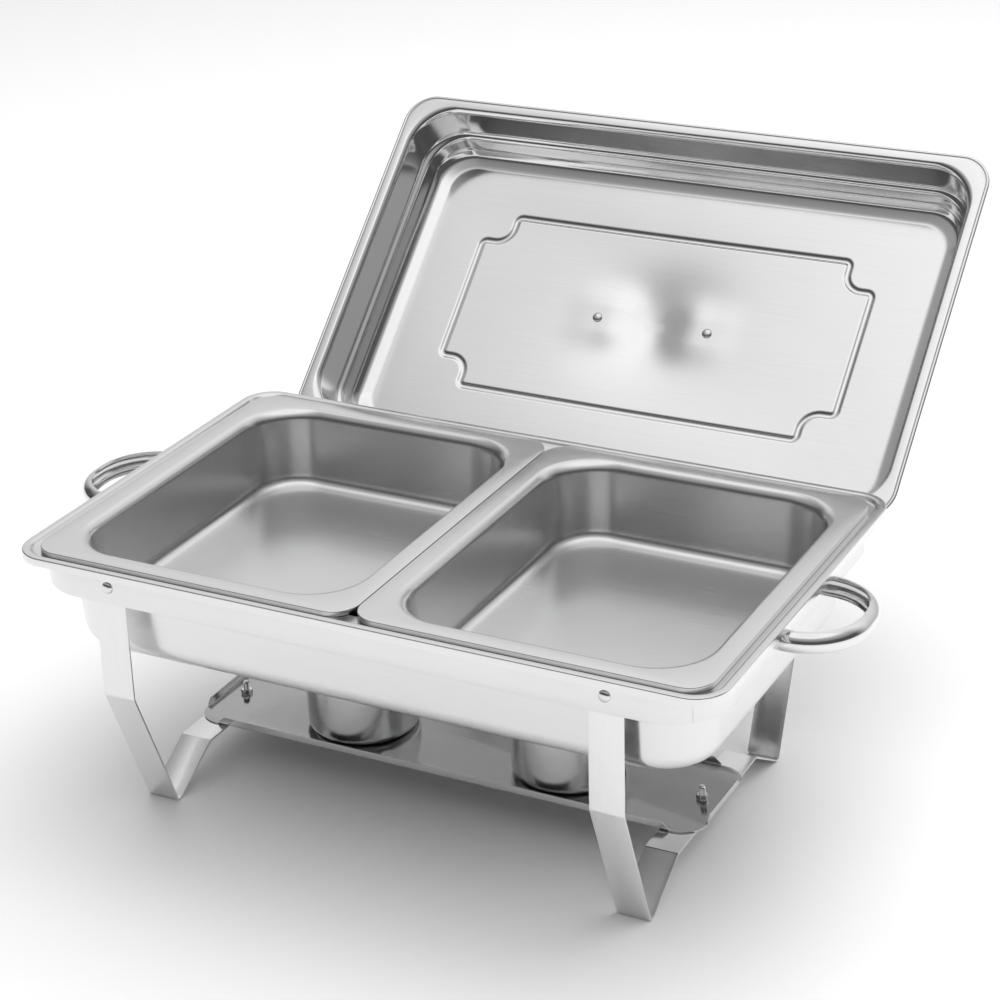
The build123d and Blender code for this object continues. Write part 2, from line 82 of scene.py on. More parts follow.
def rounded_path(points, radius, steps=6, closed=False):
    """A path through the points with each corner rounded; radius is one number or one per point."""
    points = [Vector(p) for p in points]
    radii = radius if isinstance(radius, (list, tuple)) else [radius] * len(points)
    path = []
    for i, point in enumerate(points):
        if not closed and i in (0, len(points) - 1) or radii[i] <= 0:
            path.append(point)
            continue
        back = (points[i - 1] - point).normalized()
        ahead = (points[(i + 1) % len(points)] - point).normalized()
        half = back.angle(ahead) / 2
        centre = point + (back + ahead).normalized() * radii[i] / sin(half)
        start = point + back * radii[i] * cos(half) / sin(half) - centre
        end = point + ahead * radii[i] * cos(half) / sin(half) - centre
        path += [centre + start.slerp(end, step / steps) * radii[i] for step in range(steps + 1)]
    return path


def softened(profile, cut, steps=4):
    """A profile of tuples with its inner corners eased by curves that start a cut away from them."""
    rows = [Vector(row) for row in profile]
    eased = [rows[0]]
    for before, row, after in zip(rows, rows[1:], rows[2:]):
        back, ahead = before - row, after - row
        start = row + back * min(cut / back.length, 0.45)
        end = row + ahead * min(cut / ahead.length, 0.45)
        for step in range(steps + 1):
            t = step / steps
            eased.append(start * (1 - t) ** 2 + row * 2 * t * (1 - t) + end * t * t)
    return eased + [rows[-1]]


def loop_of(half_x, half_y, radius, height, centre=(0, 0), corner=10, edge=1):
    """A closed rounded rectangle, counter-clockwise from the right edge's middle."""
    loop = []
    for turn in range(4):
        out = Vector((cos(turn * pi / 2), sin(turn * pi / 2)))
        left = Vector((-out.y, out.x))
        reach, side = (half_x, half_y) if turn % 2 == 0 else (half_y, half_x)
        for step in range(1, edge):
            loop.append(out * reach + left * (side - radius) * (2 * step / edge - 1))
        for step in range(corner + 1):
            angle = step / corner * pi / 2
            loop.append(out * (reach - radius + radius * cos(angle))
                        + left * (side - radius + radius * sin(angle)))
    return [Vector((p.x + centre[0], p.y + centre[1], height)) for p in loop]


# ---------------------------------------------------------------- meshes

class Shape:
    """The vertices and faces of one piece while it is put together."""

    def __init__(self):
        self.vertices = []
        self.faces = []

    def loft(self, loops, closed=True, caps=(False, False), joined=False):
        """Faces between rows of points. closed joins each row's ends, joined the last row to the first."""
        base, count = len(self.vertices), len(loops[0])
        for loop in loops:
            self.vertices += [tuple(p) for p in loop]
        rows = len(loops)
        for row in range(rows if joined else rows - 1):
            here, there = base + row * count, base + (row + 1) % rows * count
            for i in range(count if closed else count - 1):
                j = (i + 1) % count
                self.faces.append((here + i, here + j, there + j, there + i))
        if caps[0]:
            self.faces.append(tuple(base + i for i in reversed(range(count))))
        if caps[1]:
            self.faces.append(tuple(base + (rows - 1) * count + i for i in range(count)))
        return self

    def sweep(self, path, side, section, closed=False):
        """Carries a section of (out, across) points along a flat path; across runs along side."""
        side, rows, last = Vector(side), [], len(path) - 1
        for i, point in enumerate(path):
            before = path[i - 1] if i or closed else None
            after = path[(i + 1) % len(path)] if i < last or closed else None
            turns = [side.cross((point - before).normalized())] if before is not None else []
            turns += [side.cross((after - point).normalized())] if after is not None else []
            out = sum(turns, Vector((0, 0, 0))) / len(turns)
            out /= out.length_squared
            rows.append([point + out * a + side * b for a, b in section])
        return self.loft(rows, caps=(not closed, not closed), joined=closed)

    def turned(self, profile, place, count=40, outline=None):
        """Revolves (radius, height) rows about the Z axis of place. outline(angle) limits the radius."""
        rows = []
        for radius, height in profile:
            row = []
            for step in range(count):
                angle = 2 * pi * step / count
                reach = min(radius, outline(angle)) if outline else radius
                row.append(place @ Vector((reach * cos(angle), reach * sin(angle), height)))
            rows.append(row)
        return self.loft(rows, caps=(True, True))

    def piece(self, name, material, body, slot, nodes, sharp=38, sheet=0, even=True, swing=None):
        """Makes the object, hides the CAD nodes it stands for and hangs it from the body that carries it.

        sheet is a thickness given behind the surface; swing moves a closed lid piece to the open lid.
        """
        mesh = bpy.data.meshes.new(name)
        mesh.from_pydata(self.vertices, [], self.faces)
        if swing:
            mesh.transform(swing)
        work = bmesh.new()
        work.from_mesh(mesh)
        bmesh.ops.remove_doubles(work, verts=work.verts, dist=0.002 * MM)
        bmesh.ops.recalc_face_normals(work, faces=work.faces)
        work.to_mesh(mesh)
        work.free()
        mesh.shade_smooth()
        obj = bpy.data.objects.new(name, mesh)
        bpy.context.scene.collection.objects.link(obj)
        if sheet:
            thick = obj.modifiers.new("sheet", "SOLIDIFY")
            thick.thickness = sheet
            thick.offset = -1
            thick.use_even_offset = even
            bpy.context.view_layer.update()
            thickened = obj.evaluated_get(bpy.context.evaluated_depsgraph_get())
            solid = bpy.data.meshes.new_from_object(thickened)
            obj.modifiers.clear()
            obj.data = solid
        obj.data.set_sharp_from_angle(angle=radians(sharp))
        obj.data.materials.clear()
        obj.data.materials.append(material)
        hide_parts(*nodes)
        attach(obj, body)
        return obj


def strip_section(thick, width, edge=0.35 * MM, steps=3):
    """The section of a flat bar with eased edges."""
    a, b = thick / 2, width / 2
    corners = [Vector((a, b)), Vector((-a, b)), Vector((-a, -b)), Vector((a, -b))]
    return rounded_path(corners, edge, steps, closed=True)


# ---------------------------------------------------------------- steel

def steel(name, base, rough, grain, bump=0.06, wave=0.25, wave_size=14.0):
    """Brushed stainless steel. grain is how the brush marks are squeezed along X, Y and Z."""
    material = bpy.data.materials.new(name)
    material.use_nodes = True
    nodes, links = material.node_tree.nodes, material.node_tree.links
    shader = nodes["Principled BSDF"]
    shader.inputs["Metallic"].default_value = 1.0
    where = nodes.new("ShaderNodeTexCoord")
    squeeze = nodes.new("ShaderNodeMapping")
    squeeze.inputs["Scale"].default_value = grain
    links.new(where.outputs["Object"], squeeze.inputs["Vector"])
    marks = nodes.new("ShaderNodeTexNoise")
    marks.inputs["Scale"].default_value = 1.0
    marks.inputs["Detail"].default_value = 6.0
    marks.inputs["Roughness"].default_value = 0.65
    links.new(squeeze.outputs["Vector"], marks.inputs["Vector"])
    smears = nodes.new("ShaderNodeTexNoise")
    smears.inputs["Scale"].default_value = 22.0
    smears.inputs["Detail"].default_value = 4.0
    links.new(where.outputs["Object"], smears.inputs["Vector"])
    dents = nodes.new("ShaderNodeTexNoise")
    dents.inputs["Scale"].default_value = wave_size
    dents.inputs["Detail"].default_value = 1.0
    links.new(where.outputs["Object"], dents.inputs["Vector"])

    tone = nodes.new("ShaderNodeMapRange")
    tone.inputs["To Min"].default_value = 0.93
    tone.inputs["To Max"].default_value = 1.05
    links.new(marks.outputs["Fac"], tone.inputs["Value"])
    colour = nodes.new("ShaderNodeMix")
    colour.data_type = "RGBA"
    colour.blend_type = "MULTIPLY"
    colour.inputs["Factor"].default_value = 1.0
    colour.inputs["A"].default_value = (*base, 1.0)
    links.new(tone.outputs["Result"], colour.inputs["B"])
    links.new(colour.outputs["Result"], shader.inputs["Base Color"])

    worn = nodes.new("ShaderNodeMath")
    worn.operation = "MULTIPLY_ADD"
    worn.inputs[1].default_value = 0.45 * rough
    worn.inputs[2].default_value = 0.62 * rough
    links.new(marks.outputs["Fac"], worn.inputs[0])
    smeared = nodes.new("ShaderNodeMath")
    smeared.operation = "MULTIPLY_ADD"
    smeared.inputs[1].default_value = 0.35 * rough
    links.new(smears.outputs["Fac"], smeared.inputs[0])
    links.new(worn.outputs["Value"], smeared.inputs[2])
    links.new(smeared.outputs["Value"], shader.inputs["Roughness"])

    ripple = nodes.new("ShaderNodeBump")
    ripple.inputs["Strength"].default_value = wave
    ripple.inputs["Distance"].default_value = 3 * MM
    links.new(dents.outputs["Fac"], ripple.inputs["Height"])
    scratch = nodes.new("ShaderNodeBump")
    scratch.inputs["Strength"].default_value = bump
    scratch.inputs["Distance"].default_value = 0.1 * MM
    links.new(marks.outputs["Fac"], scratch.inputs["Height"])
    links.new(ripple.outputs["Normal"], scratch.inputs["Normal"])
    links.new(scratch.outputs["Normal"], shader.inputs["Normal"])
    return material


ALONG_X, ALONG_Y = (14, 1100, 1100), (1100, 14, 1100)
EVEN = (420, 420, 420)
BODY = steel("body_steel", (0.80, 0.80, 0.805), 0.21, ALONG_X, bump=0.03, wave=0.06)
BAND = steel("band_steel", (0.78, 0.78, 0.785), 0.24, ALONG_X, bump=0.04, wave=0.07)
PAN = steel("pan_steel", (0.80, 0.80, 0.805), 0.24, ALONG_X, bump=0.02, wave=0.05)
LID = steel("lid_steel", (0.82, 0.82, 0.825), 0.12, ALONG_X, bump=0.02, wave=0.16, wave_size=9.0)
LEG = steel("leg_steel", (0.80, 0.80, 0.80), 0.17, (700, 700, 16), bump=0.03, wave=0.08)
# the shelf's flat gets a dark base colour: painted shade standing in for the dark underside of the pans
# mirrored in it
SHELF_PAINTED_SHADE = steel("shelf_steel_painted_shade", (0.42, 0.42, 0.425), 0.12, ALONG_X, bump=0.02, wave=0.08)
SHELF_EDGE = steel("shelf_edge_steel", (0.80, 0.80, 0.805), 0.16, ALONG_X, bump=0.02, wave=0.05)
CUP = steel("cup_steel", (0.76, 0.76, 0.76), 0.24, (30, 30, 700), bump=0.02, wave=0.05)
GRIP = steel("grip_steel", (0.80, 0.80, 0.805), 0.11, ALONG_Y, bump=0.02, wave=0.05)
BOLT = steel("fastener_steel", (0.76, 0.76, 0.77), 0.12, EVEN, bump=0.03, wave=0.03)


# ---------------------------------------------------------------- frame ring and its handles

SEAM_GAP = 0.5 * MM
SEAM_ANGLE = radians(-50)  # round the front right corner, from the band's right side
RING_RADIUS = 46 * MM
BAND_SHEET = 1.2 * MM


def build_ring():
    low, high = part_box("frame_ring")
    half_x, half_y = high.x - BAND_SHEET / 2, high.y - BAND_SHEET / 2
    radius, level = RING_RADIUS - BAND_SHEET / 2, (low.z + high.z) / 2
    loop = loop_of(half_x, half_y, radius, level, corner=24)
    centre = Vector((half_x - radius, radius - half_y, level))
    angle_of = [(Vector(p) - centre).xy.angle_signed(Vector((1, 0))) for p in loop]
    start = min(range(len(loop)), key=lambda i: abs(angle_of[i] - SEAM_ANGLE) + (loop[i] - centre).length)
    path = loop[start:] + loop[:start + 1]
    gap = (path[1] - path[0]).normalized() * SEAM_GAP
    path[-1] = path[-1] - gap
    section = strip_section(BAND_SHEET, high.z - low.z, 0.4 * MM)
    Shape().sweep(path, (0, 0, 1), section).piece(
        "ring_band", BAND, "ring", "body_steel", ["frame_ring"])


HANDLE_BEND = 40 * MM
HANDLE_RADIUS = 8 * MM
HANDLE_SHEET = 1.2 * MM


def channel_section():
    """A half round channel with its hollow side inwards and rounded lips."""
    outer, inner, rows = HANDLE_RADIUS, HANDLE_RADIUS - HANDLE_SHEET, 14
    lip = HANDLE_SHEET / 2
    section = [Vector((-outer * sin(pi * i / rows), outer * cos(pi * i / rows))) for i in range(rows + 1)]
    section.append(Vector((lip * 0.7, -outer + lip)))
    section += [Vector((-inner * sin(pi * i / rows), -inner * cos(pi * i / rows))) for i in range(rows + 1)]
    section.append(Vector((lip * 0.7, outer - lip)))
    return section


def build_handles():
    ring_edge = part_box("frame_ring")[1].x
    for side, name in ((-1, "left"), (1, "right")):
        low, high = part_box("end_handle_" + name)
        level, half = (low.z + high.z) / 2, high.y - HANDLE_RADIUS
        tip = max(abs(low.x), high.x) - HANDLE_RADIUS
        corners = [(side * ring_edge, -half, level), (side * tip, -half, level),
                   (side * tip, half, level), (side * ring_edge, half, level)]
        path = rounded_path(corners, HANDLE_BEND, steps=22)
        section = [Vector((a * side, b)) for a, b in channel_section()]
        Shape().sweep(path, (0, 0, 1), section).piece(
            "end_handle_" + name + "_channel", GRIP, "ring", "stand_steel", ["end_handle_" + name])


# ---------------------------------------------------------------- leg frames

LEG_SHEET = 1.5 * MM
KNEE_HEIGHT = 108 * MM
FOOT_OUT, FOOT_IN = 122 * MM, 117.6 * MM
CROSSBAR_HALF = 74 * MM
LEG_BENDS = [0, 3 * MM, 1.4 * MM, 1.4 * MM, 2.5 * MM]


def build_legs():
    shelf_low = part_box("fuel_shelf")[0].z
    for name in ("left", "right"):
        low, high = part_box("leg_frame_" + name)
        x, edge = (low.x + high.x) / 2, high.y - LEG_SHEET / 2
        bottom = low.z + LEG_SHEET / 2
        back = [(edge, high.z), (edge, KNEE_HEIGHT), (FOOT_OUT, bottom), (FOOT_IN, bottom),
                (CROSSBAR_HALF, shelf_low - LEG_SHEET / 2)]
        line = [(-y, z) for y, z in back] + back[::-1]
        path = rounded_path([(x, y, z) for y, z in line], LEG_BENDS + LEG_BENDS[::-1], steps=5)
        section = strip_section(LEG_SHEET, high.x - low.x)
        Shape().sweep(path, (1, 0, 0), section).piece(
            "leg_" + name + "_strip", LEG, name + "_leg", "stand_steel", ["leg_frame_" + name], sharp=50)


# ---------------------------------------------------------------- fuel shelf

SHELF_SHEET = 1.0 * MM
SHELF_CORNER = 20 * MM
SHELF_BEND = 1.4 * MM
LONG_FLANGE, LONG_FLANGE_TOP = 190 * MM, 184.5 * MM
END_FLANGE, END_FLANGE_TOP = 30.5 * MM, 26.5 * MM


def flange(shape, start, end, out, top_start, top_end, rise, level):
    """One turned-up edge of the shelf: a bend, then an upright part with slanted ends."""
    rows = []
    for step in range(5):
        angle = step / 4 * pi / 2
        shift = out * (SHELF_BEND * sin(angle))
        lift = Vector((0, 0, SHELF_BEND * (1 - cos(angle))))
        rows.append([Vector((*p, level)) + Vector((*shift, 0)) + lift for p in (start, end)])
    across = Vector((*(out * SHELF_BEND), 0))
    rows.append([Vector((*p, level + rise)) + across for p in (top_start, top_end)])
    shape.loft(rows, closed=False)


def build_shelf():
    low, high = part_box("fuel_shelf")
    level, rise = low.z + SHELF_SHEET, high.z - low.z - SHELF_SHEET
    inner_x, inner_y = high.x - SHELF_BEND - SHELF_SHEET, high.y - SHELF_BEND - SHELF_SHEET
    shape, outline = Shape(), []
    for turn in range(4):
        sx, sy = ((1, 1), (-1, 1), (-1, -1), (1, -1))[turn]
        arc = []
        for step in range(9):
            angle = step / 8 * pi / 2
            arc.append(Vector((sx * (high.x - SHELF_CORNER + SHELF_CORNER * cos(angle)),
                               sy * (high.y - SHELF_CORNER + SHELF_CORNER * sin(angle)))))
        arc = [Vector((sx * inner_x, sy * END_FLANGE)), Vector((sx * high.x, sy * END_FLANGE))] + arc \
            + [Vector((sx * LONG_FLANGE, sy * high.y)), Vector((sx * LONG_FLANGE, sy * inner_y))]
        outline += arc if sx * sy > 0 else arc[::-1]
    shape.vertices += [(p.x, p.y, level) for p in outline]
    shape.faces.append(tuple(range(len(outline))))
    for sy in (-1, 1):
        flange(shape, Vector((-LONG_FLANGE, sy * inner_y)), Vector((LONG_FLANGE, sy * inner_y)),
               Vector((0, sy)), Vector((-LONG_FLANGE_TOP, sy * inner_y)),
               Vector((LONG_FLANGE_TOP, sy * inner_y)), rise, level)
    for sx in (-1, 1):
        flange(shape, Vector((sx * inner_x, -END_FLANGE)), Vector((sx * inner_x, END_FLANGE)),
               Vector((sx, 0)), Vector((sx * inner_x, -END_FLANGE_TOP)),
               Vector((sx * inner_x, END_FLANGE_TOP)), rise, level)
    tray = shape.piece("shelf_tray", SHELF_PAINTED_SHADE, "shelf", "stand_steel", ["fuel_shelf"], sheet=SHELF_SHEET)
    # the flat of the shelf is painted darker than its turned-up edges: painted shade for the dark underside
    # of the pans that the bright steel mirrors there
    tray.data.materials.append(SHELF_EDGE)
    for face in tray.data.polygons:
        if abs(face.normal.z) < 0.5:
            face.material_index = 1


# ---------------------------------------------------------------- pans

def sheet_loops(profile, half_x, half_y, centre=(0, 0), corner=12, edge=1):
    """Loops from (inset, height, corner radius) rows."""
    return [loop_of(half_x - inset, half_y - inset, radius, height, centre, corner, edge)
            for inset, height, radius in profile]


WATER_SHEET = 1.0 * MM
RIM_RADIUS = 26 * MM
LEDGE_DROP = 3 * MM
LEDGE_INSET, WELL_INSET, FLOOR_INSET = 7 * MM, 19 * MM, 25 * MM
WELL_RADIUS, FLOOR_RADIUS = 46 * MM, 42 * MM
FLOOR_EDGE = 14 * MM
WATER_LIP = 6.2 * MM
WATER_EASE = 1.3 * MM


def build_water_pan():
    low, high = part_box("water_pan")
    half_x, half_y = high.x, high.y
    lip_low = high.z - WATER_LIP
    t, r = WATER_SHEET, RIM_RADIUS
    rim = [(0, lip_low, r), (0, high.z, r), (LEDGE_INSET - 1.5 * MM, high.z, r - 5 * MM),
           (LEDGE_INSET + 0.5 * MM, high.z - LEDGE_DROP, r - 5 * MM)]
    ledge = [(WELL_INSET + t, high.z - LEDGE_DROP, WELL_RADIUS - t)]
    well = [(FLOOR_INSET + t, low.z + t, FLOOR_RADIUS - t)]
    floor = [(FLOOR_INSET + 45 * MM, low.z + t, FLOOR_RADIUS - 25 * MM)]
    profile = softened(rim + ledge + well, WATER_EASE)[:-1]
    bottom = softened([profile[-1]] + well + floor, FLOOR_EDGE, steps=10)
    loops = sheet_loops(profile[:-1] + bottom, half_x, half_y, corner=16)
    Shape().loft(loops, caps=(False, True)).piece(
        "water_pan_sheet", BODY, "water_tray", "body_steel", ["water_pan"], sheet=t)


PAN_SHEET = 0.8 * MM
PAN_CORNER = 20 * MM
PAN_FLANGE = 15 * MM
PAN_WALL_RADIUS = 46 * MM
PAN_TAPER = 5 * MM
PAN_LIP, PAN_SHOULDER = 3.8 * MM, 4 * MM
PAN_LIP_EASE, PAN_SHOULDER_EASE, PAN_FLOOR_EDGE = 0.9 * MM, 3.2 * MM, 10 * MM


def build_food_pans():
    for name in ("left", "right"):
        low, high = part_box("food_pan_" + name)
        centre, half = (low + high) / 2, (high - low) / 2
        top, floor, t = high.z, low.z + PAN_SHEET, PAN_SHEET
        flange_rows = [(0, top - PAN_LIP, PAN_CORNER), (0, top, PAN_CORNER),
                       (PAN_FLANGE, top, PAN_WALL_RADIUS)]
        wall = [(PAN_FLANGE + PAN_SHOULDER, top - 5 * MM, PAN_WALL_RADIUS),
                (PAN_FLANGE + PAN_SHOULDER + PAN_TAPER, floor, PAN_WALL_RADIUS - PAN_TAPER)]
        inside = [(PAN_FLANGE + 50 * MM, floor, PAN_WALL_RADIUS - 25 * MM)]
        profile = softened(flange_rows, PAN_LIP_EASE)[:-1] \
            + softened([(PAN_FLANGE - 6 * MM, top, PAN_WALL_RADIUS - 8 * MM), flange_rows[2], *wall],
                       PAN_SHOULDER_EASE, steps=6)[:-1]
        bottom = softened([profile[-1], wall[-1], *inside], PAN_FLOOR_EDGE, steps=8)
        loops = sheet_loops(profile[:-1] + bottom, half.x, half.y, centre.xy, corner=14)
        Shape().loft(loops, caps=(False, True)).piece(
            "food_pan_" + name + "_sheet", PAN, name + "_food", "pan_steel", ["food_pan_" + name], sheet=t)


# ---------------------------------------------------------------- fuel cups

CUP_SHEET = 0.8 * MM
CUP_EDGE = 7 * MM
CUP_BEAD = 1.6 * MM


def build_cups():
    for name in ("left", "right"):
        low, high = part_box("fuel_cup_" + name)
        centre, wall, t = (low + high) / 2, (high.x - low.x) / 2 - CUP_BEAD, CUP_SHEET
        tall = high.z - low.z
        outside = rounded_path([(0, 0, 0), (wall, 0, 0), (wall, tall - 2 * CUP_BEAD, 0)],
                               CUP_EDGE, steps=8)
        bead = [(wall + CUP_BEAD * 0.5 * (1 + cos(turn)), tall - CUP_BEAD + CUP_BEAD * sin(turn))
                for turn in map(radians, range(-75, 136, 30))]
        inside = rounded_path([(wall - t, tall - CUP_BEAD, 0), (wall - t, t, 0), (0, t, 0)],
                              CUP_EDGE - t, steps=8)
        rows = [(max(p[0], 0.5 * MM), p[1]) for p in outside] + bead
        rows += [(max(p[0], 0.5 * MM), p[1]) for p in inside]
        place = Matrix.Translation((centre.x, centre.y, low.z))
        Shape().turned(rows, place, count=96).piece(
            "cup_" + name + "_shell", CUP, name + "_cup", "cup_steel", ["fuel_cup_" + name])


# ---------------------------------------------------------------- lid

LID_SHEET = 0.8 * MM
LID_BEAD = 1.8 * MM
LID_CORNER = 27 * MM
# inset from the edge, height over the low face, corner radius
LID_WALL = [(10, 0, 38), (13, 3, 37.5), (15.5, 31, 36), (20, 34, 34), (22.5, 46, 32), (27, 52, 30),
            (36, 55, 24)]
EMBOSS_HALF = Vector((180 * MM, 84 * MM))
EMBOSS_NOTCH, EMBOSS_HOLLOW, EMBOSS_EAR = 26 * MM, 14 * MM, 6 * MM
EMBOSS_DEEP = 1.3 * MM
LID_EASE = 2.4 * MM
ROOF_RINGS = 26
# across the embossed line: inset, share of its depth
EMBOSS_LINE = [(-3.2, 0.0), (-2.4, 0.0), (-1.6, 0.12), (-0.8, 0.6), (0.0, 0.93), (0.8, 1.0), (1.6, 1.0),
               (2.4, 0.93), (3.2, 0.6), (4.0, 0.12), (4.8, 0.0), (5.4, 0.0)]
NOTCH_STEPS, EDGE_STEPS = 7, 22
CORNER_STEPS = 3 * NOTCH_STEPS + 2


def emboss_outline():
    """The notched outline of the roof's embossed line, matched point for point with loop_of."""
    outline = []
    for turn in range(4):
        out = Vector((cos(turn * pi / 2), sin(turn * pi / 2)))
        left = Vector((-out.y, out.x))
        reach, side = EMBOSS_HALF if turn % 2 == 0 else EMBOSS_HALF.yx
        inner, start = side - EMBOSS_NOTCH, side - EMBOSS_NOTCH - EMBOSS_EAR
        line = [Vector((reach, start * (2 * step / EDGE_STEPS - 1))) for step in range(1, EDGE_STEPS)]
        corners = [(reach, 0), (reach, inner), (reach - EMBOSS_NOTCH, inner),
                   (reach - EMBOSS_NOTCH, side), (0, side)]
        line += rounded_path(corners, [0, EMBOSS_EAR, EMBOSS_HOLLOW, EMBOSS_EAR, 0], NOTCH_STEPS)[1:-1]
        outline += [out * p.x + left * p.y for p in line]
    return outline


def moved_in(outline, inset):
    """A closed counter-clockwise outline moved towards its inside."""
    moved = []
    for i, point in enumerate(outline):
        ahead = (outline[(i + 1) % len(outline)] - point).normalized()
        along = ((point - outline[i - 1]).normalized() + ahead).normalized()
        moved.append(point + Vector((-along.y, along.x)) * inset / along.dot(ahead))
    return moved


SCREW_X = 50 * MM
ROOF_HALF, ROOF_RISE = Vector((228.5 * MM, 126.5 * MM)), 3 * MM
ROOF_BULGE, BULGE_X, BULGE_Y = 6.0 * MM, 50 * MM, 42 * MM
GRIP_WIDE, GRIP_THICK = 18 * MM, 4 * MM
GRIP_TOP_HALF, GRIP_FOOT = 34 * MM, 9 * MM
DENT_SIZE = 24 * MM


def roof_shift(point, centre):
    """The roof is a little domed, swells under the handle and is held back by its two feet."""
    x, y = point.x - centre[0], point.y - centre[1]
    rise = ROOF_RISE * (1 - (x / ROOF_HALF.x) ** 2) * (1 - (y / ROOF_HALF.y) ** 2)
    swell = ROOF_BULGE * exp(-(x / BULGE_X) ** 2 - (y / BULGE_Y) ** 2)
    for side in (-1, 1):
        beyond = max(abs(x - side * SCREW_X) - GRIP_FOOT, 0), max(abs(y) - GRIP_WIDE / 2, 0)
        swell *= 1 - exp(-(hypot(*beyond) / DENT_SIZE) ** 2)
    return rise + swell


def build_lid():
    low, high = closed_box("lid_shell")
    centre, half = ((low + high) / 2).xy, (high - low) / 2
    base = low.z
    rows = [(a * MM, base + b * MM, c * MM) for a, b, c in LID_WALL]
    rows = [(2.2 * MM, base + 0.9 * MM, LID_CORNER - 2.2 * MM), (3.4 * MM, base, LID_CORNER - 3.4 * MM)] \
        + rows + [(42 * MM, rows[-1][1], 24 * MM)]
    profile = softened(rows, LID_EASE, steps=5)
    loops = sheet_loops(profile, half.x, half.y, centre, CORNER_STEPS, EDGE_STEPS)
    roof = rows[-1][1]
    outline = emboss_outline()
    for inset, share in EMBOSS_LINE:
        loops.append([Vector((*(p + centre), roof + share * EMBOSS_DEEP))
                      for p in moved_in(outline, inset * MM)])
    inner = loops[-1]
    for ring in range(1, ROOF_RINGS):
        scale = 1 - ring / ROOF_RINGS
        loop = []
        for p in inner:
            flat = (p.xy - centre) * scale
            loop.append(Vector((centre.x + flat.x, centre.y + flat.y, roof)))
        loops.append(loop)
    for loop in loops[len(profile):]:
        for p in loop:
            p.z += roof_shift(p, centre)
    shape = Shape().loft(loops, caps=(False, True))
    shape.piece("lid_pressing", LID, "lid", "lid_steel", ["lid_shell"], sheet=LID_SHEET, even=False,
                swing=OPEN)

    edge_path = loop_of(half.x - LID_BEAD, half.y - LID_BEAD, LID_CORNER - LID_BEAD, base + LID_BEAD,
                        centre, CORNER_STEPS)
    bead = [Vector((LID_BEAD * cos(a), LID_BEAD * sin(a))) for a in (2 * pi * i / 16 for i in range(16))]
    Shape().sweep(edge_path, (0, 0, 1), bead, closed=True).piece(
        "lid_rolled_edge", LID, "lid", "lid_steel", ["lid_shell"], swing=OPEN)


def build_lid_handle():
    low, high = closed_box("lid_handle")
    y, floor = (low.y + high.y) / 2, low.z + GRIP_THICK / 2
    line = [(-SCREW_X - GRIP_FOOT, floor), (-SCREW_X + GRIP_FOOT, floor),
            (-GRIP_TOP_HALF, high.z - GRIP_THICK / 2), (GRIP_TOP_HALF, high.z - GRIP_THICK / 2),
            (SCREW_X - GRIP_FOOT, floor), (SCREW_X + GRIP_FOOT, floor)]
    path = rounded_path([(x, y, z) for x, z in line], [0, 4 * MM, 8 * MM, 8 * MM, 4 * MM, 0], steps=8)
    section = strip_section(GRIP_THICK, GRIP_WIDE, 1.6 * MM, steps=5)
    Shape().sweep(path, (0, 1, 0), section).piece(
        "lid_grip", GRIP, "lid", "lid_steel", ["lid_handle"], swing=OPEN)


# ---------------------------------------------------------------- fasteners

def dome(radius, height, steps=7):
    """A round head from its rim at height 0 to its crown."""
    return [(radius * cos(i / steps * pi / 2 * 0.98), height * sin(i / steps * pi / 2))
            for i in range(steps + 1)]


def thread(radius, start, end, pitch=0.8 * MM, depth=0.35 * MM):
    """Rings that stand for the ridges of a machine thread."""
    rows, height = [], start
    while height < end:
        rows += [(radius - depth, height), (radius, height + pitch / 2)]
        height += pitch
    return rows


def build_rivets():
    low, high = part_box("leg_rivets")
    reach, radius = 4.5 * MM, 4.5 * MM
    head, shank, tail = 2.4 * MM, 2.5 * MM, 3.8 * MM
    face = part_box("frame_ring")[1].y
    x, z = high.x - reach, (low.z + high.z) / 2
    shape = Shape()
    grip, clench = 3.2 * MM, 1.2 * MM
    for side_x in (-1, 1):
        for side_y in (-1, 1):
            turn = Matrix.Rotation(-side_y * pi / 2, 4, "X")
            place = Matrix.Translation((side_x * x, side_y * face, z)) @ turn
            rows = [(tail * 0.85, -grip - clench), (tail, -grip - clench * 0.6), (tail, -grip),
                    (shank, -grip), (shank, 0), (radius, 0), *dome(radius, head)]
            shape.turned(rows, place, count=32)
    shape.piece("leg_rivet_set", BOLT, "ring", "fastener_steel", ["leg_rivets"])


def build_studs():
    shelf_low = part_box("fuel_shelf")[0].z
    for name in ("left", "right"):
        low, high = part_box("shelf_stud_" + name)
        centre, radius = middle("shelf_stud_" + name), 2.5 * MM
        bottom = shelf_low - LEG_SHEET - low.z
        tall, head = high.z - low.z, 4.5 * MM
        rows = [(head * 0.6, 0), (head * 0.9, 0.35 * MM), (head, bottom * 0.55), (head, bottom),
                (radius - 0.4 * MM, bottom)]
        rows += thread(radius, bottom + 0.4 * MM, tall - 1.6 * MM)
        rows += [(radius - 0.3 * MM, tall - 1.2 * MM), (radius - 0.5 * MM, tall - 0.4 * MM),
                 (radius - 1.2 * MM, tall)]
        place = Matrix.Translation((centre.x, centre.y, low.z))
        Shape().turned(rows, place, count=28).piece(
            "stud_" + name + "_thread", BOLT, name + "_leg", "fastener_steel", ["shelf_stud_" + name])


def hexagon(flats):
    """The radius of a hexagon at an angle."""
    def reach(angle):
        turn = (angle + pi / 6) % (pi / 3) - pi / 6
        return flats / 2 / cos(turn)
    return reach


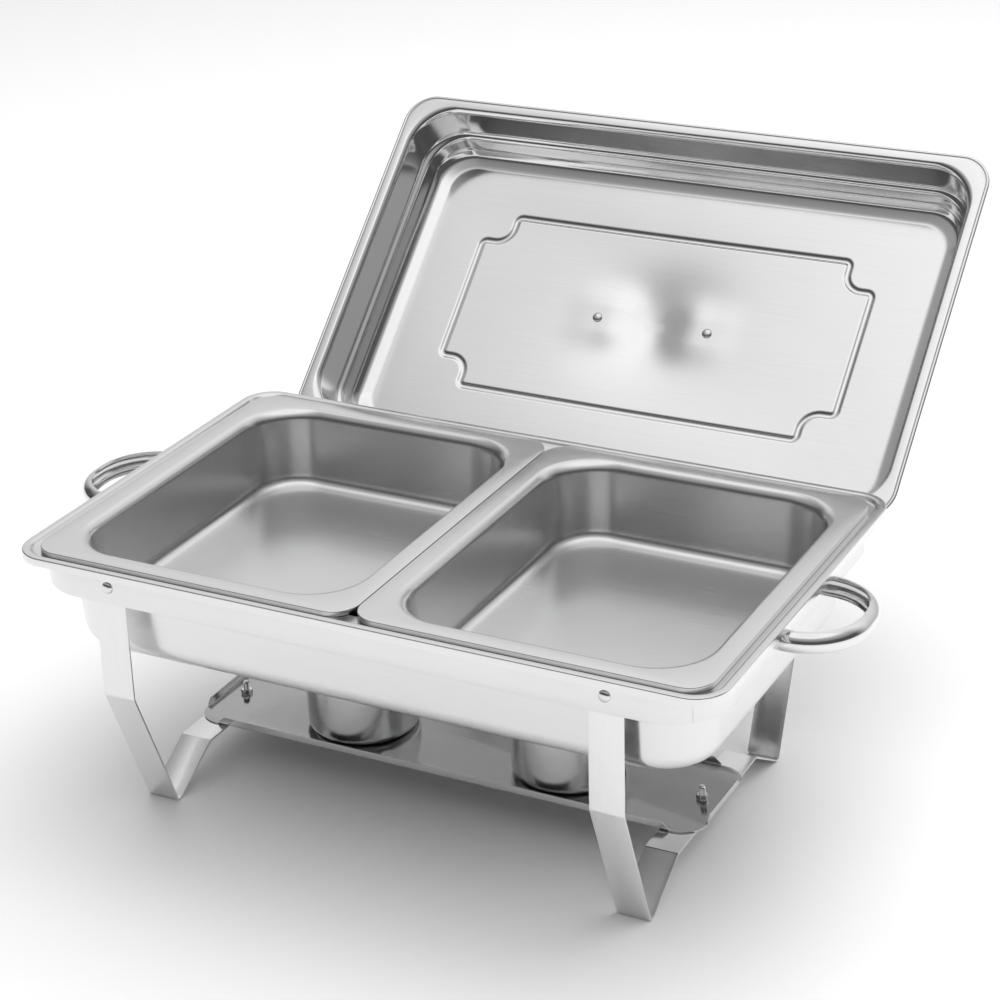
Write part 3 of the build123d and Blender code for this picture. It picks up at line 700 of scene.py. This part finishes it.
def build_nuts():
    low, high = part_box("shelf_nuts")
    flats, tall = high.y - low.y, high.z - low.z
    x = high.x - flats / 2 / cos(pi / 6)
    shape = Shape()
    for side in (-1, 1):
        place = Matrix.Translation((side * middle("shelf_stud_right").x, 0, low.z))
        rows = [(2.6 * MM, 0), (flats / 2, 0), (flats * 0.6, 0.6 * MM), (flats * 0.6, tall - 0.6 * MM),
                (flats / 2, tall), (2.6 * MM, tall)]
        shape.turned(rows, place, count=48, outline=hexagon(flats))
    shape.piece("shelf_nut_set", BOLT, "shelf", "fastener_steel", ["shelf_nuts"], sharp=25)


def build_lid_screws():
    low, high = closed_box("lid_handle_screws")
    head, tall = (high.x - low.x) / 2 - SCREW_X, 2.4 * MM
    y = (low.y + high.y) / 2
    shape = Shape()
    for side in (-1, 1):
        place = OPEN @ Matrix.Translation((side * SCREW_X, y, low.z + tall)) @ Matrix.Rotation(pi, 4, "X")
        rows = [(2 * MM, -(high.z - low.z - tall)), (2 * MM, 0), (head, 0), (head, 0.5 * MM),
                *[(r, z + 0.5 * MM) for r, z in dome(head, tall - 0.5 * MM)]]
        shape.turned(rows, place, count=32)
    shape.piece("lid_screw_set", BOLT, "lid", "fastener_steel", ["lid_handle_screws"])


# ---------------------------------------------------------------- run

build_ring()
build_handles()
build_legs()
build_shelf()
build_water_pan()
build_food_pans()
build_cups()
build_lid()
build_lid_handle()
build_rivets()
build_studs()
build_nuts()
build_lid_screws()

for node in ("hinge_lug_left", "hinge_lug_right", "hinge_strap_left", "hinge_strap_right", "hinge_pins"):
    carried = frame["nodes"][node]
    carried.data.materials.clear()
    carried.data.materials.append(BOLT)


# ---------------------------------------------------------------- studio

FLOOR_HALF = 60.0


def build_floor():
    mesh = bpy.data.meshes.new("floor")
    corners = [(x * FLOOR_HALF, y * FLOOR_HALF, 0) for x, y in ((-1, -1), (1, -1), (1, 1), (-1, 1))]
    mesh.from_pydata(corners, [], [(0, 1, 2, 3)])
    floor = bpy.data.objects.new("floor", mesh)
    bpy.context.scene.collection.objects.link(floor)
    paint = bpy.data.materials.new("floor_paper")
    paint.use_nodes = True
    shader = paint.node_tree.nodes["Principled BSDF"]
    shader.inputs["Base Color"].default_value = (0.96, 0.96, 0.96, 1)
    shader.inputs["Roughness"].default_value = 0.9
    mesh.materials.append(paint)


def lamp(name, place, aim, size, power):
    """A soft lamp that lights the floor but isn't mirrored by the steel."""
    data = bpy.data.lights.new(name, "AREA")
    data.shape, data.size, data.size_y = "RECTANGLE", size[0], size[1]
    data.energy = power
    light = bpy.data.objects.new(name, data)
    bpy.context.scene.collection.objects.link(light)
    light.location = place
    light.visible_glossy = False
    light.rotation_euler = (Vector(aim) - Vector(place)).to_track_quat("-Z", "Y").to_euler()


def tone_ramp(nodes, stops):
    """A grey ramp from (height, tone) stops; height runs from -1 straight down to 1 straight up."""
    node = nodes.new("ShaderNodeValToRGB")
    ramp = node.color_ramp
    for number, (height, tone) in enumerate(stops):
        place = (height + 1) / 2
        stop = ramp.elements[0] if number == 0 else ramp.elements.new(place)
        stop.position, stop.color = place, (tone, tone, tone, 1)
    ramp.elements.remove(ramp.elements[-1])
    return node


# (height, tone) of the room in front of the dish and behind it
FRONT_TONES = [(-1, 0.6), (-0.02, 0.4), (0.0, 0.08), (0.42, 0.09), (0.60, 0.32), (0.78, 0.45),
               (0.84, 0.66), (0.90, 1.0), (0.95, 1.15), (1.0, 1.25)]
BACK_TONES = [(-1, 0.6), (0.0, 0.58), (0.15, 0.62), (0.40, 0.76), (0.75, 1.0), (1.0, 1.25)]


def build_studio():
    """A pale room that is brighter overhead and at the back, and dim low down at the front."""
    world = bpy.data.worlds.new("studio")
    world.use_nodes = True
    bpy.context.scene.world = world
    nodes, links = world.node_tree.nodes, world.node_tree.links
    where = nodes.new("ShaderNodeTexCoord")
    split = nodes.new("ShaderNodeSeparateXYZ")
    links.new(where.outputs["Generated"], split.inputs["Vector"])
    height = nodes.new("ShaderNodeMapRange")
    height.inputs["From Min"].default_value = -1.0
    links.new(split.outputs["Z"], height.inputs["Value"])
    front = tone_ramp(nodes, FRONT_TONES)
    back = tone_ramp(nodes, BACK_TONES)
    for ramp in (front, back):
        links.new(height.outputs["Result"], ramp.inputs["Fac"])
    behind = nodes.new("ShaderNodeMapRange")
    behind.interpolation_type = "SMOOTHSTEP"
    behind.inputs["From Min"].default_value = 0.25
    behind.inputs["From Max"].default_value = 0.70
    links.new(split.outputs["Y"], behind.inputs["Value"])
    both = nodes.new("ShaderNodeMix")
    both.data_type = "RGBA"
    links.new(behind.outputs["Result"], both.inputs["Factor"])
    links.new(front.outputs["Color"], both.inputs["A"])
    links.new(back.outputs["Color"], both.inputs["B"])
    sky = nodes["Background"]
    links.new(both.outputs["Result"], sky.inputs["Color"])
    sky.inputs["Strength"].default_value = 1.0
    lamp("key", (-0.8, 1.4, 2.8), (0, 0, 0.1), (3.6, 2.3), 28)
    lamp("back", (1.4, 1.4, 2.6), (0, 0, 0.1), (3.2, 2.2), 20)
    lamp("top", (0.3, -0.1, 3.2), (0, 0, 0.1), (3.2, 2.5), 30)
    lamp("fill", (2.6, -0.5, 1.7), (0, 0, 0.2), (1.6, 2.0), 8)
    bpy.context.scene.view_settings.view_transform = "Standard"


LENS, SENSOR = 92.33, 36.0
CAMERA_AT = Vector((0.8164, -1.4958, 1.0068))
CAMERA_TURN = [radians(degrees) for degrees in (65.529, 1.520, 26.860)]


def build_camera():
    data = bpy.data.cameras.new("camera")
    data.lens = LENS
    data.sensor_width = SENSOR
    camera = bpy.data.objects.new("camera", data)
    bpy.context.scene.collection.objects.link(camera)
    camera.location = CAMERA_AT
    camera.rotation_euler = CAMERA_TURN
    bpy.context.scene.camera = camera


build_floor()
build_studio()
build_camera()
